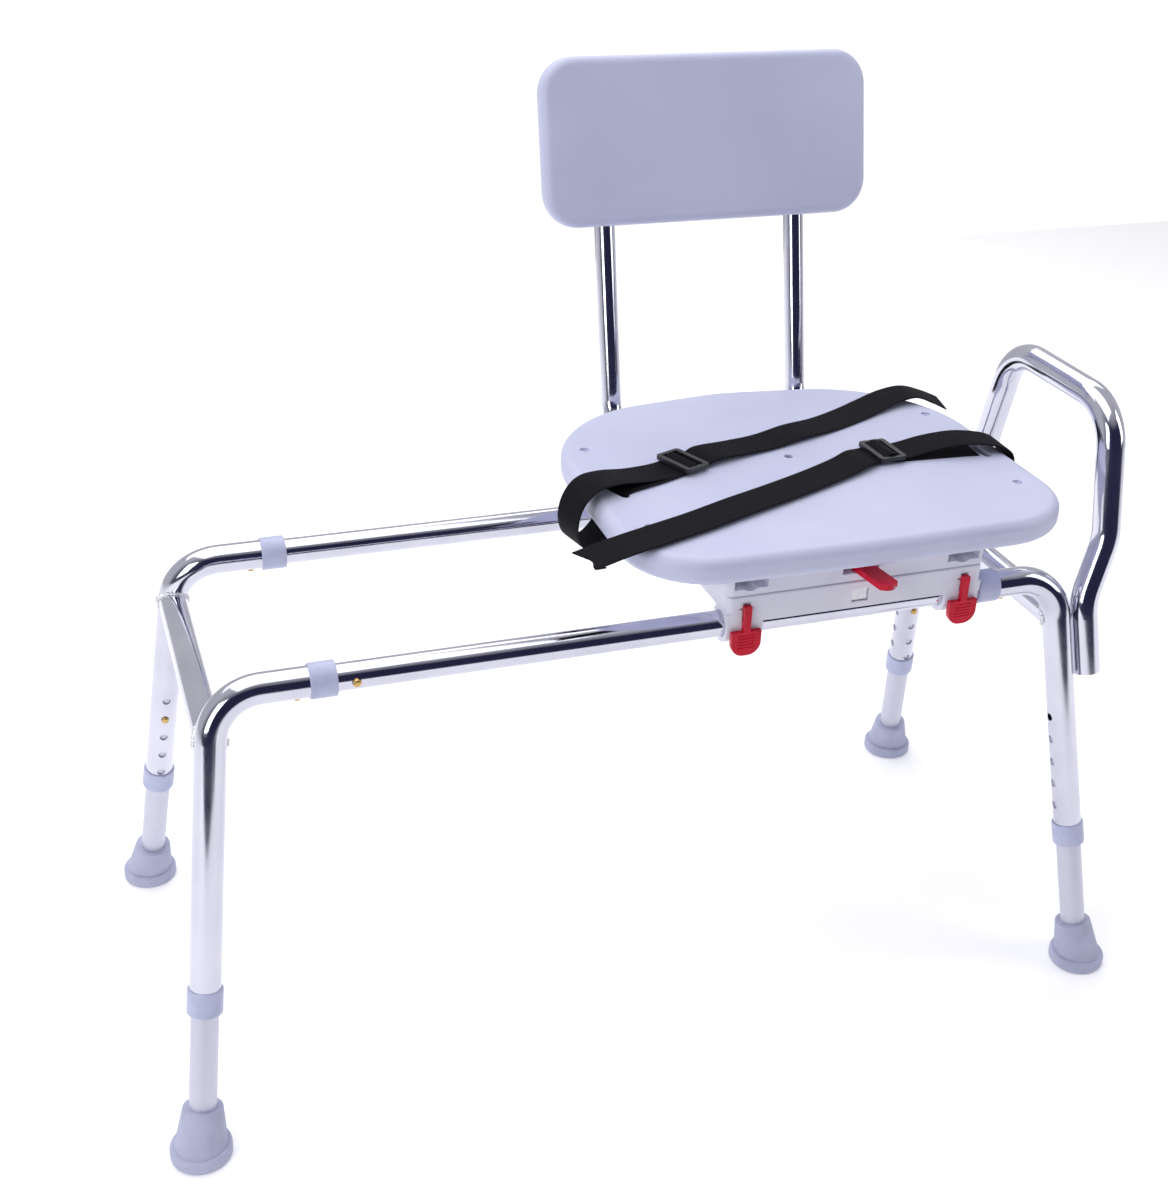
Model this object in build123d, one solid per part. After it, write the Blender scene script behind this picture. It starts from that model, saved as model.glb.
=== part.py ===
from build123d import *
import math
import os

# Bath transfer bench. X runs along the rails, Y from front to back, Z up. Millimetres.
# Everything is placed from the floor point midway between the four feet; the whole bench is then
# moved so that the origin is the middle of the box it stands in, on the floor.

# ---- tubes ----
OUTER_D = 28.6
OUTER_BORE = 25.6
INNER_D = 25.4
INNER_BORE = 23.0
BEND_R = 47.0

# ---- frame ----
RAIL_Z = 433.0
RAIL_Y = 127.0
CORNER_X = 418.0
SPLAY_X = 52.0
SPLAY_Y = 90.0
CROSS_Z = 390.0
LEFT_SOCKET_X = -314.0
RIGHT_SOCKET_X = 326.5
COLLAR_D = 32.6
COLLAR_LENGTH = 24.0
COLLAR_LIP = 3.0
SLIDING_GAP = 0.3

# ---- legs ----
LEG_SOCKET_Z = 144.0
HOLE_PITCH = 25.4
HOLE_COUNT = 5
REST_HOLE = 1
REST_HOLE_Z = 243.8
SIDE_HOLE_Z = 285.0
LOWER_LEG_ABOVE_HOLE = 29.0
TIP_HEIGHT = 47.0
TIP_TOP_D = 37.0
TIP_CONE_D = 49.0
TIP_BASE_D = 57.0
TIP_BASE_HEIGHT = 13.0
TIP_FLOOR = 8.0

# ---- snap buttons ----
BUTTON_D = 7.6
BUTTON_HOLE_D = 8.2
BUTTON_PROUD = 2.6
BUTTON_TRAVEL = 4.4
STOP_BUTTON_X = -294.7
STOP_BUTTON_PROUD = 4.0
RAIL_BUTTON_FROM_SOCKET = 31.5
SPRING_STRIP = 0.8
SPRING_WIDTH = 7.0

# ---- grab bar ----
BAR_OFFSET = 32.0
BAR_STUB_LOW_Z = 328.0
BAR_STUB_HIGH_Z = 402.0
BAR_X = 479.0
BAR_KNEE = (118.0, 462.0)
BAR_TOP = (88.0, 593.0)
BAR_KNEE_R = 60.0
BAR_TOP_R = 50.0

# ---- carriage ----
CARRIAGE_X = 186.0
CARRIAGE_HALF_X = 134.0
SKIRT_Y = 145.0
SKIRT_WALL = 4.6
SKIRT_LOW_Z = 440.0
DECK_Z = 449.5
BASE_TOP_Z = 467.5
CLIP_X = 115.0
CLIP_WIDTH = 36.0
CLIP_R = 18.0
LATCH_WIDTH = 30.0
LATCH_STEM = 7.0
LATCH_THICK = 5.0
LATCH_PIN_Z = 455.0
LATCH_PADDLE_Z = 433.0
LATCH_LOW_Z = 408.0

# ---- swivel plate and lever ----
PLATE_GAP = 1.0
PLATE_HALF_X = 136.0
PLATE_HALF_Y = 144.0
PIVOT_D = 16.0
LEVER_WIDTH = 19.0
LEVER_THICK = 6.0
LEVER_PIVOT_Y = -106.0
LEVER_LENGTH = 80.0
LEVER_REST = 8.0
LEVER_Z = 480.0

# ---- seat ----
SEAT_LOW_Z = 498.0
SEAT_TOP_Z = 525.0
SEAT_EDGE_R = 10.0
SEAT_WALL = 3.5
SLOT_X = 200.0
SLOT_Y = -6.0
SLOT_SIZE = (46.0, 9.0)
PLUG_X = 195.0
PLUG_Y = 92.0
PLUG_D = 10.0
DRAIN_D = 9.0
DRAIN_Y = (24.0, -29.0)

# ---- backrest ----
POST_D = 22.2
POST_BORE = 19.6
POST_X = 111.5
POST_Z = 484.0
POST_FRONT_Y = -60.0
POST_FOOT_Y = 236.0
POST_RECLINE = 0.24
POST_BEND_R = 38.0
POST_BOLT_Y = (-30.0, 90.0)
POST_BOLT_D = 5.0
BACK_LOW_Z = 704.0
BACK_HEIGHT = 172.0
BACK_WIDTH = 371.0
BACK_THICK = 22.0
BACK_CORNER_R = 37.0
BACK_SCREW_UP = (45.0, 130.0)
POST_ABOVE_BACK_LOW = 150.0

# ---- belt ----
BELT_WIDTH = 38.0
BELT_THICK = 1.5
BELT_LEFT_ANGLE = 21.5
BELT_RIGHT_ANGLE = 4.0
BELT_TAIL_ANGLE = 23.5
BUCKLE = (56.0, 30.0, 4.0)

parts = {}


def leg_place(side_x, side_y, along):
    """Plane on a leg's axis, a distance down from the corner: x points inwards along Y, z down the leg."""
    corner = Vector(side_x * CORNER_X, side_y * RAIL_Y, RAIL_Z)
    down = Vector(side_x * SPLAY_X, side_y * SPLAY_Y, -RAIL_Z).normalized()
    inwards = Vector(0, -side_y, 0)
    inwards = (inwards - down * inwards.dot(down)).normalized()
    return Plane(origin=corner + down * along, x_dir=inwards, z_dir=down)


LEG_COS = RAIL_Z / math.sqrt(RAIL_Z**2 + SPLAY_X**2 + SPLAY_Y**2)


def along_leg(z):
    return (RAIL_Z - z) / LEG_COS


def leg_y(z):
    return RAIL_Y + SPLAY_Y * (RAIL_Z - z) / RAIL_Z


def leg_x(z):
    return CORNER_X + SPLAY_X * (RAIL_Z - z) / RAIL_Z


def swept_tube(path, outer_d, bore_d):
    """Tube along a path of straight runs and arcs."""
    start = Plane(origin=path @ 0, z_dir=path % 0)
    ring = Circle(outer_d / 2) - Circle(bore_d / 2)
    return sweep(start * ring, path=path)


def swept_rod(path, diameter):
    """Solid bar along the same kind of path, used to cope the pieces that are welded to a tube."""
    return sweep(Plane(origin=path @ 0, z_dir=path % 0) * Circle(diameter / 2), path=path)


def straight_tube(plane, length, outer_d, bore_d):
    """Tube that starts on a plane and runs along its z."""
    return plane * extrude(Circle(outer_d / 2) - Circle(bore_d / 2), length)


def radial_pin(plane, diameter, near, far, turn=0.0):
    """Round bar across a tube's axis, from one radius to another, towards the plane's x."""
    towards = Plane(origin=(0, 0, 0), x_dir=(0, 1, 0), z_dir=(1, 0, 0))
    bar = towards * Pos(0, 0, near) * extrude(Circle(diameter / 2), far - near)
    return plane * Rot(0, 0, turn) * bar


def end_collar(plane, bore_d):
    """Collar over an outer tube's end: the plane is at the tube's end, with z pointing out of it."""
    body = extrude(Circle(COLLAR_D / 2) - Circle(OUTER_D / 2), COLLAR_LENGTH - COLLAR_LIP)
    lip = extrude(Circle(COLLAR_D / 2) - Circle(bore_d / 2), COLLAR_LIP)
    collar = Pos(0, 0, COLLAR_LIP - COLLAR_LENGTH) * body + lip
    rims = [e for e in collar.edges().filter_by(GeomType.CIRCLE) if abs(e.radius - COLLAR_D / 2) < 0.01]
    return plane * fillet(rims, 1.2)


def snap_button(surface_r, proud):
    """Flanged brass button across a tube, with a rounded head that stands proud of the surface."""
    sideways = Plane(origin=(0, 0, 0), x_dir=(0, 1, 0), z_dir=(1, 0, 0))
    foot_r = INNER_BORE / 2 - 2.2
    shank = Pos(0, 0, foot_r) * extrude(Circle(BUTTON_D / 2), surface_r + proud - foot_r)
    shank = fillet(shank.edges().sort_by(Axis.Z)[-1], 2.0)
    flange = Pos(0, 0, foot_r - 1.0) * extrude(Circle(BUTTON_D / 2 + 1.0), 1.0)
    return sideways * (shank + flange)


def button_spring():
    """V of flat strip inside the tube: one arm under the button's flange, the other on the far wall."""
    top = INNER_BORE / 2 - 2.2 - 1.0 - SPRING_STRIP / 2
    low = -INNER_BORE / 2 + 1.5
    arm = 34.0
    line = Polyline((top, -5.0), (top, 5.0), (0.0, arm), (low, 4.0), (low, -3.0))
    strip = trace(line, SPRING_STRIP)
    upright = Plane(origin=(0, SPRING_WIDTH / 2, 0), x_dir=(1, 0, 0), z_dir=(0, -1, 0))
    return upright * extrude(strip, SPRING_WIDTH)


# ---- end frames: four bent tubes, two cross tubes ----
SIDES = (("left", -1), ("right", 1))
ENDS = (("front", -1), ("rear", 1))
rail_button_places = {}
collars = []
leg_collars = []
leg_cores = {}
for side, sx in SIDES:
    socket_x = LEFT_SOCKET_X if sx < 0 else RIGHT_SOCKET_X
    for end, sy in ENDS:
        mouth = (socket_x, sy * RAIL_Y, RAIL_Z)
        corner = (sx * CORNER_X, sy * RAIL_Y, RAIL_Z)
        leg_end = leg_place(sx, sy, along_leg(LEG_SOCKET_Z))
        path = FilletPolyline(mouth, corner, tuple(leg_end.origin), radius=BEND_R)
        tube = swept_tube(path, OUTER_D, OUTER_BORE)
        for step in range(HOLE_COUNT):
            down = along_leg(REST_HOLE_Z) + (step - REST_HOLE) * HOLE_PITCH
            tube -= radial_pin(leg_place(sx, sy, down), BUTTON_HOLE_D, 6, 20)
            down = along_leg(SIDE_HOLE_Z) + step * HOLE_PITCH
            tube -= radial_pin(leg_place(sx, sy, down), BUTTON_HOLE_D, 6, 20, 90 * sx * sy)
        button_x = socket_x + sx * RAIL_BUTTON_FROM_SOCKET
        place = Plane(origin=(button_x, sy * RAIL_Y, RAIL_Z), x_dir=(0, 0, -1), z_dir=(sx, 0, 0))
        rail_button_places[side, end] = place
        tube -= radial_pin(place, BUTTON_HOLE_D, 6, 20)
        parts[f"{side}_{end}_tube"] = tube
        collars.append(end_collar(Plane(origin=mouth, z_dir=(-sx, 0, 0)), OUTER_BORE))
        leg_collars.append(end_collar(leg_end, INNER_D + 2 * SLIDING_GAP))
        leg_cores[side, end] = swept_rod(path, OUTER_D)

parts["rail_collars"] = Compound(collars)
parts["leg_collars"] = Compound(leg_collars)

for side, sx in SIDES:
    start = Plane(origin=(sx * leg_x(CROSS_Z), -leg_y(CROSS_Z), CROSS_Z), z_dir=(0, 1, 0))
    bar = straight_tube(start, 2 * leg_y(CROSS_Z), OUTER_D, OUTER_BORE)
    bar = bar - leg_cores[side, "front"] - leg_cores[side, "rear"]
    parts[f"{side}_cross_tube"] = bar.solids().sort_by(SortBy.VOLUME)[-1]

# ---- rails: inner tubes that run into the end frames' sockets ----
bend_start = CORNER_X - BEND_R - 1.0
stop_places = {}
for end, sy in ENDS:
    start = Plane(origin=(-bend_start, sy * RAIL_Y, RAIL_Z), x_dir=(0, 1, 0), z_dir=(1, 0, 0))
    rail = straight_tube(start, 2 * bend_start, INNER_D, INNER_BORE)
    for side, sx in SIDES:
        rail -= radial_pin(rail_button_places[side, end], BUTTON_HOLE_D, 6, 20)
    place = Plane(origin=(STOP_BUTTON_X, sy * RAIL_Y, RAIL_Z), x_dir=(0, sy, 0), z_dir=(1, 0, 0))
    stop_places[end] = place
    rail -= radial_pin(place, BUTTON_HOLE_D, 6, 20)
    parts[f"{end}_rail"] = rail

# ---- snap buttons of the rails ----
springs = []
for (side, end), place in rail_button_places.items():
    parts[f"rail_button_{side}_{end}"] = place * snap_button(OUTER_D / 2, BUTTON_PROUD)
    springs.append(place * button_spring())
for end, place in stop_places.items():
    parts[f"stop_button_{end}"] = place * snap_button(INNER_D / 2, STOP_BUTTON_PROUD)
    springs.append(place * button_spring())
parts["rail_button_springs"] = Compound(springs)

# ---- legs: sliding inner tube, rubber tip, snap button and its spring ----
for side, sx in SIDES:
    for end, sy in ENDS:
        name = f"{side}_{end}"
        button_down = along_leg(REST_HOLE_Z)
        top = button_down - LOWER_LEG_ABOVE_HOLE
        bottom = along_leg(TIP_FLOOR + 4.0)
        leg = straight_tube(leg_place(sx, sy, top), bottom - top, INNER_D, INNER_BORE)
        here = leg_place(sx, sy, button_down)
        parts[f"lower_leg_{name}"] = leg - radial_pin(here, BUTTON_HOLE_D, 6, 20)
        parts[f"leg_button_{name}"] = here * snap_button(OUTER_D / 2, BUTTON_PROUD)
        parts[f"leg_spring_{name}"] = here * button_spring()

        foot = Vector(sx * (CORNER_X + SPLAY_X), sy * (RAIL_Y + SPLAY_Y), 0)
        base = extrude(Circle(TIP_BASE_D / 2), TIP_BASE_HEIGHT)
        base = Pos(foot.X, foot.Y, 0) * fillet(base.edges().filter_by(GeomType.CIRCLE), 3.0)
        up = leg_place(sx, sy, along_leg(TIP_HEIGHT))
        shoulder = Plane(origin=(foot.X, foot.Y, TIP_BASE_HEIGHT - 1.0), x_dir=up.x_dir, z_dir=(0, 0, -1))
        cone = loft([up * Circle(TIP_TOP_D / 2), shoulder * Circle(TIP_CONE_D / 2)])
        socket = leg_place(sx, sy, 0) * extrude(Circle(INNER_D / 2), bottom)
        parts[f"leg_tip_{name}"] = base + cone - socket

# ---- grab bar: inverted U welded outside the right-hand legs ----
points = []
for sy in (-1, 1):
    run = [
        (leg_x(BAR_STUB_LOW_Z) + BAR_OFFSET, sy * leg_y(BAR_STUB_LOW_Z), BAR_STUB_LOW_Z),
        (leg_x(BAR_STUB_HIGH_Z) + BAR_OFFSET, sy * leg_y(BAR_STUB_HIGH_Z), BAR_STUB_HIGH_Z),
        (BAR_X, sy * BAR_KNEE[0], BAR_KNEE[1]),
        (BAR_X + 1, sy * BAR_TOP[0], BAR_TOP[1]),
    ]
    points += run if sy < 0 else run[::-1]
bar_radii = [BAR_KNEE_R, BAR_KNEE_R, BAR_TOP_R, BAR_TOP_R, BAR_KNEE_R, BAR_KNEE_R]
bar_path = FilletPolyline(*points, radius=bar_radii)
parts["grab_bar"] = swept_tube(bar_path, OUTER_D, OUTER_BORE)
bar_core = swept_rod(bar_path, OUTER_D)
cross_start = Plane(origin=(leg_x(CROSS_Z), -leg_y(CROSS_Z), CROSS_Z), z_dir=(0, 1, 0))
cross_core = cross_start * extrude(Circle(OUTER_D / 2), 2 * leg_y(CROSS_Z))

weld = []
WELD_Z = (392.0, 342.0)
WELD_D = 11.0
for end, sy in ENDS:
    high = leg_place(1, sy, along_leg(WELD_Z[0]))
    length = along_leg(WELD_Z[1]) - along_leg(WELD_Z[0])
    rod = Pos(BAR_OFFSET / 2, 0, 0) * high * extrude(Circle(WELD_D / 2), length)
    bead = rod - leg_cores["right", end] - bar_core - cross_core
    weld.append(bead.solids().sort_by(SortBy.VOLUME)[-1])
parts["weld_beads"] = Compound(weld)

# ---- carriage: channel base on the rails with four C clips ----
rail_clear_r = INNER_D / 2 + SLIDING_GAP


def at_carriage(shape):
    return Pos(CARRIAGE_X, 0, 0) * shape


def rail_cylinder(radius, length, x, sy):
    return Pos(x, sy * RAIL_Y, RAIL_Z) * Rot(0, 90, 0) * Cylinder(radius, length)


def z_box(size_x, size_y, low_z, high_z, x=0.0, y=0.0):
    return Pos(x, y, (low_z + high_z) / 2) * Box(size_x, size_y, high_z - low_z)


deck = z_box(2 * CARRIAGE_HALF_X, 2 * SKIRT_Y, DECK_Z, BASE_TOP_Z)
deck = fillet(deck.edges().filter_by(Axis.Z), 6.0)
deck = fillet(deck.faces().sort_by(Axis.Z)[-1].edges(), 1.5)
pocket_y = 2 * (RAIL_Y - 22)
deck -= z_box(2 * CARRIAGE_HALF_X - 20, pocket_y, DECK_Z - 1, BASE_TOP_Z - 4)
deck += Pos(0, 0, DECK_Z) * extrude(Circle(26), BASE_TOP_Z - DECK_Z - 2)
for x in (-70, 70):
    deck += z_box(4, pocket_y + 2, DECK_Z, BASE_TOP_Z - 3, x)
base = deck
for end, sy in ENDS:
    skirt_mid = sy * (SKIRT_Y - SKIRT_WALL / 2)
    base += z_box(2 * CARRIAGE_HALF_X, SKIRT_WALL, SKIRT_LOW_Z, DECK_Z + 1, 0, skirt_mid)
    for cx in (-CLIP_X, CLIP_X):
        clip = rail_cylinder(CLIP_R, CLIP_WIDTH, cx, sy)
        clip += z_box(CLIP_WIDTH, CLIP_R, RAIL_Z, DECK_Z + 1, cx, sy * (RAIL_Y + CLIP_R / 2))
        clip -= z_box(CLIP_WIDTH + 2, CLIP_R, RAIL_Z - 26, RAIL_Z + 8, cx, sy * (RAIL_Y - 5 - CLIP_R / 2))
        base += clip
    base -= rail_cylinder(rail_clear_r, 2 * CARRIAGE_HALF_X + 10, 0, sy)
base -= Pos(0, 0, BASE_TOP_Z) * Cylinder(PIVOT_D / 2, 60)
catch_x = 3.0
catch_hole = z_box(18, 8, 446, 460, catch_x, -SKIRT_Y)
base -= catch_hole
for cx in (-CLIP_X, CLIP_X):
    stem_slot = z_box(LATCH_STEM + 1, 9, RAIL_Z + 8, LATCH_PIN_Z + 6, cx, -SKIRT_Y)
    base -= stem_slot
    base -= Pos(cx, -SKIRT_Y + 1.0, LATCH_PIN_Z) * Rot(0, 90, 0) * Cylinder(1.6, 14)
parts["carriage_base"] = at_carriage(base)

glides = []
for sy in (-1, 1):
    for cx in (-70, 70):
        glide = z_box(50, 18, RAIL_Z + 6, DECK_Z, cx, sy * RAIL_Y)
        glides.append(at_carriage(glide - rail_cylinder(rail_clear_r, 60, cx, sy)))
parts["rail_glides"] = Compound(glides)
parts["catch_plate"] = at_carriage(z_box(16, 2.0, 447, 459, catch_x, -SKIRT_Y + 3))

# ---- red latches: stem and paddle in front of each front clip, hinged on a pin ----
latch_y = -(RAIL_Y + CLIP_R) - 0.4 - LATCH_THICK / 2
KNUCKLE_R = 3.0
for side, sx in SIDES:
    cx = sx * CLIP_X
    paddle = z_box(LATCH_WIDTH, LATCH_THICK, LATCH_LOW_Z, LATCH_PADDLE_Z, cx, latch_y)
    low = paddle.edges().filter_by(Axis.Y).sort_by(Axis.Z)[:2]
    paddle = fillet(low, LATCH_WIDTH / 2 - 2.0)
    stem = z_box(LATCH_STEM, LATCH_THICK, LATCH_PADDLE_Z - 1, LATCH_PIN_Z + 4, cx, latch_y)
    knuckle = Pos(cx, -SKIRT_Y + 1.0, LATCH_PIN_Z) * Rot(0, 90, 0) * Cylinder(KNUCKLE_R, LATCH_STEM)
    web = z_box(LATCH_STEM, 4.0, LATCH_PIN_Z - 2, LATCH_PIN_Z + 2, cx, -SKIRT_Y - 1.0)
    latch = paddle + stem + web + knuckle
    latch -= Pos(cx, -SKIRT_Y + 1.0, LATCH_PIN_Z) * Rot(0, 90, 0) * Cylinder(1.55, 12)
    parts[f"latch_{side}"] = at_carriage(latch)
pins = [Pos(sx * CLIP_X, -SKIRT_Y + 1.0, LATCH_PIN_Z) * Rot(0, 90, 0) * Cylinder(1.5, 13) for sx in (-1, 1)]
parts["latch_pins"] = at_carriage(Compound(pins))

# ---- turntable: bearing ring, bolt and nut ----
plate_low = BASE_TOP_Z + PLATE_GAP
ring = extrude(Circle(95) - Circle(84), PLATE_GAP - 0.3)
parts["turntable_ring"] = at_carriage(Pos(0, 0, BASE_TOP_Z) * ring)
bolt_head_z = SEAT_LOW_Z - 11.0
bolt_low_z = DECK_Z - 12.0
bolt = Pos(0, 0, bolt_low_z) * extrude(Circle(PIVOT_D / 2), bolt_head_z - bolt_low_z)
bolt += Pos(0, 0, bolt_head_z) * extrude(RegularPolygon(12.5, 6), 8)
parts["pivot_bolt"] = at_carriage(bolt)
washer = Pos(0, 0, DECK_Z - 2.4) * extrude(Circle(16) - Circle(PIVOT_D / 2), 2.4)
nut = Pos(0, 0, DECK_Z - 9.4) * extrude(RegularPolygon(13.5, 6) - Circle(PIVOT_D / 2), 7)
parts["pivot_nut"] = at_carriage(Compound([nut, washer]))

# ---- swivel plate: turns on the carriage, with channels for the two back posts ----
plate = z_box(2 * PLATE_HALF_X, 2 * PLATE_HALF_Y, plate_low, SEAT_LOW_Z)
plate = fillet(plate.edges().filter_by(Axis.Z), 8.0)
channel_r = POST_D / 2 + 0.2
for sx in (-1, 1):
    channel = Pos(sx * POST_X, 0, POST_Z) * Rot(90, 0, 0) * Cylinder(channel_r, 2 * PLATE_HALF_Y + 10)
    plate -= channel
    front = z_box(34, 30, POST_Z - 9, POST_Z + 6, sx * POST_X, -PLATE_HALF_Y)
    plate -= front
pivot_r = PIVOT_D / 2 + 0.06
plate -= Pos(0, 0, plate_low) * Cylinder(pivot_r, 100)
plate -= Pos(0, 0, bolt_head_z - 1) * extrude(Circle(16), 40)
lever_room_z = (LEVER_Z - LEVER_THICK / 2 - 0.5, LEVER_Z + LEVER_THICK / 2 + 0.5)
lever_room = z_box(40, -LEVER_PIVOT_Y - 60, *lever_room_z, 0, LEVER_PIVOT_Y)
lever_room += z_box(38, 30, *lever_room_z, 1, -PLATE_HALF_Y)
plate -= lever_room
for x in (-62, 62):
    for y in (-62, 62):
        plate -= Pos(x, y, plate_low + 4) * extrude(Circle(38) - Circle(8), SEAT_LOW_Z)
screw_places = [(sx * 62, sy * 62) for sx in (-1, 1) for sy in (-1, 1)]
for x, y in screw_places:
    plate -= Pos(x, y, plate_low - 1) * extrude(Circle(2.6), 60)
    plate -= Pos(x, y, plate_low - 1) * extrude(Circle(5.0), 5)
for sx in (-1, 1):
    for y in POST_BOLT_Y:
        plate -= Pos(sx * POST_X, y, plate_low - 1) * extrude(Circle(POST_BOLT_D / 2), 60)
lever_pin_low = LEVER_Z - 9.0
plate -= Pos(0, LEVER_PIVOT_Y, lever_pin_low) * extrude(Circle(2.5), 18)
parts["swivel_plate"] = at_carriage(plate)

lever_pin = Pos(0, LEVER_PIVOT_Y, lever_pin_low) * extrude(Circle(2.5), 18)
parts["lever_pin"] = at_carriage(lever_pin)
lever = z_box(LEVER_WIDTH, LEVER_LENGTH - 4, -LEVER_THICK / 2, LEVER_THICK / 2, 0, -(LEVER_LENGTH - 4) / 2)
lever += extrude(Circle(LEVER_WIDTH / 2 - 1), LEVER_THICK / 2, both=True)
lever += Pos(0, -LEVER_LENGTH + LEVER_WIDTH / 2) * extrude(Circle(LEVER_WIDTH / 2), LEVER_THICK / 2, both=True)
lever -= extrude(Circle(2.6), 20, both=True)
lever = Pos(0, LEVER_PIVOT_Y, LEVER_Z) * Rot(0, 0, LEVER_REST) * lever
parts["swivel_lever"] = at_carriage(lever)
spring_room = trace(Polyline((-11, 16), (-4, 12), (3, 16), (10, 13)), 0.8)
parts["lever_spring"] = at_carriage(Pos(0, LEVER_PIVOT_Y, LEVER_Z - 2) * extrude(spring_room, 4))

# ---- seat: rounded moulded board, hollow inside ----


def seat_outline(inset):
    """Plan of the seat: five circles in one tight outline, straight front and full rounded back."""
    circles = [
        (77, 54, 148),
        (-77, 54, 148),
        (147, -96, 80),
        (-147, -96, 80),
        (0, 16, 195),
    ]
    edges = [Pos(x, y) * Circle(r - inset).edge() for x, y, r in circles]
    return make_hull(edges)


seat = Pos(0, 0, SEAT_LOW_Z) * extrude(seat_outline(0), SEAT_TOP_Z - SEAT_LOW_Z)
seat = fillet(seat.faces().sort_by(Axis.Z)[-1].edges(), SEAT_EDGE_R)
seat = fillet(seat.faces().sort_by(Axis.Z)[0].edges(), SEAT_EDGE_R)
cavity_h = SEAT_TOP_Z - SEAT_LOW_Z - 2 * SEAT_WALL
cavity = Pos(0, 0, SEAT_LOW_Z + SEAT_WALL) * extrude(seat_outline(SEAT_EDGE_R + 1), cavity_h)
slots = []
BOSS_WALL = 3.0
belt_angles = {-1: BELT_LEFT_ANGLE, 1: BELT_RIGHT_ANGLE}
for sx in (-1, 1):
    place = Pos(sx * SLOT_X, SLOT_Y, SEAT_LOW_Z - 1) * Rot(0, 0, 90 + belt_angles[sx])
    cavity -= place * extrude(SlotOverall(SLOT_SIZE[0] + 2 * BOSS_WALL, SLOT_SIZE[1] + 2 * BOSS_WALL), 40)
    slots.append(place * extrude(SlotOverall(*SLOT_SIZE), 40))
    for sy in (-1, 1):
        place = Pos(sx * PLUG_X, sy * PLUG_Y, SEAT_LOW_Z - 1)
        cavity -= place * extrude(Circle(PLUG_D / 2 + BOSS_WALL), 40)
        slots.append(Pos(sx * PLUG_X, sy * PLUG_Y, SEAT_TOP_Z - 6) * extrude(Circle(PLUG_D / 2), 10))
for y in DRAIN_Y:
    cavity -= Pos(0, y, SEAT_LOW_Z - 1) * extrude(Circle(DRAIN_D / 2 + BOSS_WALL), 40)
    slots.append(Pos(0, y, SEAT_LOW_Z - 1) * extrude(Circle(DRAIN_D / 2), 40))
SEAT_SCREW_DEEP = 16.0
for x, y in screw_places:
    cavity -= Pos(x, y, SEAT_LOW_Z - 1) * extrude(Circle(8), 40)
    slots.append(Pos(x, y, SEAT_LOW_Z - 1) * extrude(Circle(2.5), SEAT_SCREW_DEEP + 1))
for sx in (-1, 1):
    for y in POST_BOLT_Y:
        cavity -= Pos(sx * POST_X, y, SEAT_LOW_Z - 1) * extrude(Circle(8), 40)
        slots.append(Pos(sx * POST_X, y, SEAT_LOW_Z - 1) * extrude(Circle(POST_BOLT_D / 2), SEAT_SCREW_DEEP + 1))
seat -= cavity
for cut in slots:
    seat -= cut
parts["seat_shell"] = at_carriage(seat)

plugs = []
for sx in (-1, 1):
    for sy in (-1, 1):
        plug = extrude(Circle(PLUG_D / 2 - 0.1), 4.0)
        plug -= Pos(0, 0, 2.5) * extrude(Rectangle(6, 1.4) + Rectangle(1.4, 6), 4)
        plugs.append(at_carriage(Pos(sx * PLUG_X, sy * PLUG_Y, SEAT_TOP_Z - 6) * plug))
parts["corner_plugs"] = Compound(plugs)

screws = []
for x, y in screw_places:
    shank = Pos(x, y, plate_low + 0.6) * extrude(Circle(2.5), SEAT_LOW_Z - plate_low + SEAT_SCREW_DEEP - 2)
    head = Pos(x, y, plate_low + 0.6) * extrude(Circle(4.6), 3)
    screws.append(at_carriage(shank + head))
parts["seat_screws"] = Compound(screws)

# ---- back posts: bent tubes from the swivel plate's channels up into the backrest ----
back_dir = Vector(0, POST_RECLINE, 1).normalized()


def post_axis_y(z):
    return POST_FOOT_Y + (z - POST_Z) * POST_RECLINE


post_top_z = BACK_LOW_Z + POST_ABOVE_BACK_LOW
post_bolts = []
for side, sx in SIDES:
    path = FilletPolyline(
        (sx * POST_X, POST_FRONT_Y, POST_Z),
        (sx * POST_X, POST_FOOT_Y, POST_Z),
        (sx * POST_X, post_axis_y(post_top_z), post_top_z),
        radius=POST_BEND_R,
    )
    post = swept_tube(path, POST_D, POST_BORE)
    for y in POST_BOLT_Y:
        hole = Pos(sx * POST_X, y, POST_Z - 20) * extrude(Circle(POST_BOLT_D / 2), 40)
        post -= hole
        low = plate_low + 0.6
        post_bolts.append(
            at_carriage(Pos(sx * POST_X, y, low) * extrude(Circle(2.4), SEAT_LOW_Z - low + SEAT_SCREW_DEEP - 2))
        )
    parts[f"back_post_{side}"] = at_carriage(post)
parts["post_bolts"] = Compound(post_bolts)

# ---- backrest: rounded hollow panel on the front of the posts ----
front_y = post_axis_y(BACK_LOW_Z) - (POST_D / 2 + BACK_THICK) / back_dir.Z
back_plane = Plane(origin=(0, front_y, BACK_LOW_Z), x_dir=(1, 0, 0), z_dir=(0, -back_dir.Z, back_dir.Y))
panel = Pos(0, BACK_HEIGHT / 2, -BACK_THICK) * extrude(
    RectangleRounded(BACK_WIDTH, BACK_HEIGHT, BACK_CORNER_R), BACK_THICK
)
panel = fillet(panel.faces().sort_by(Axis.Z)[-1].edges(), 9.0)
panel = fillet(panel.faces().sort_by(Axis.Z)[0].edges(), 7.0)
inner = Pos(0, BACK_HEIGHT / 2, -BACK_THICK + SEAT_WALL) * extrude(
    RectangleRounded(BACK_WIDTH - 20, BACK_HEIGHT - 20, BACK_CORNER_R - 10), BACK_THICK - 2 * SEAT_WALL
)
back_screws = []
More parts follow.
